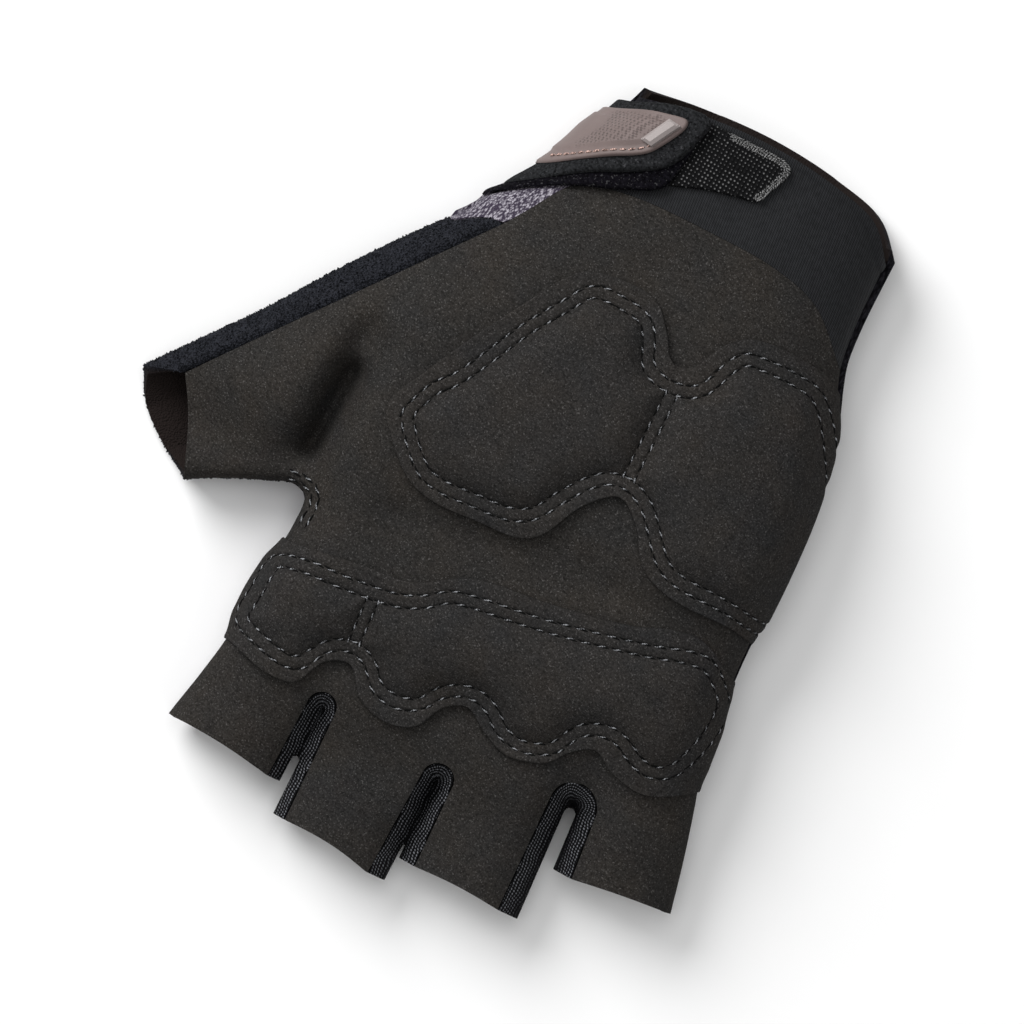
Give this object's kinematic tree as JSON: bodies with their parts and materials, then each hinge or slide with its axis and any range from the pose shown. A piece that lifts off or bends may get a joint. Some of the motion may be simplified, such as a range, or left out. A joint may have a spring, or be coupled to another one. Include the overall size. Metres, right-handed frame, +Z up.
{
  "type": "cycling glove",
  "caption": "Short-finger cycling glove for the right hand, lying palm up: padded suede palm, mesh back, terry thumb, neoprene cuff and closing strap with a rubber pull tab",
  "frame": {"origin": "the middle of the palm, on the surface that the back of the glove rests on", "axes": "+X towards the little-finger side, +Y from the fingertips to the wrist, +Z up out of the palm"},
  "size_m": [0.1442, 0.1681, 0.0322],
  "materials": {
    "suede": "napped",
    "patch_suede": "napped",
    "knit_mesh": "knitted",
    "terry": "looped",
    "neoprene": "fine weave",
    "elastic": "ribbed",
    "hook_weave": "woven",
    "loop_pile": "fuzzy",
    "felt": "brushed",
    "tab_rubber": "satin",
    "tip_rubber": "satin"
  },
  "bodies": {
    "root": {"palm_panel": "suede", "back_panel": "knit_mesh", "thumb_back": "terry", "cuff": "neoprene", "gusset_index_middle": "elastic", "gusset_middle_ring": "elastic", "gusset_ring_little": "elastic", "heel_patch": "patch_suede", "knuckle_patch": "patch_suede", "hook_patch": "hook_weave", "strap_under": "loop_pile", "strap": "felt", "pull_tab": "tab_rubber", "tab_tip": "tip_rubber"}
  },
  "joints": []
}
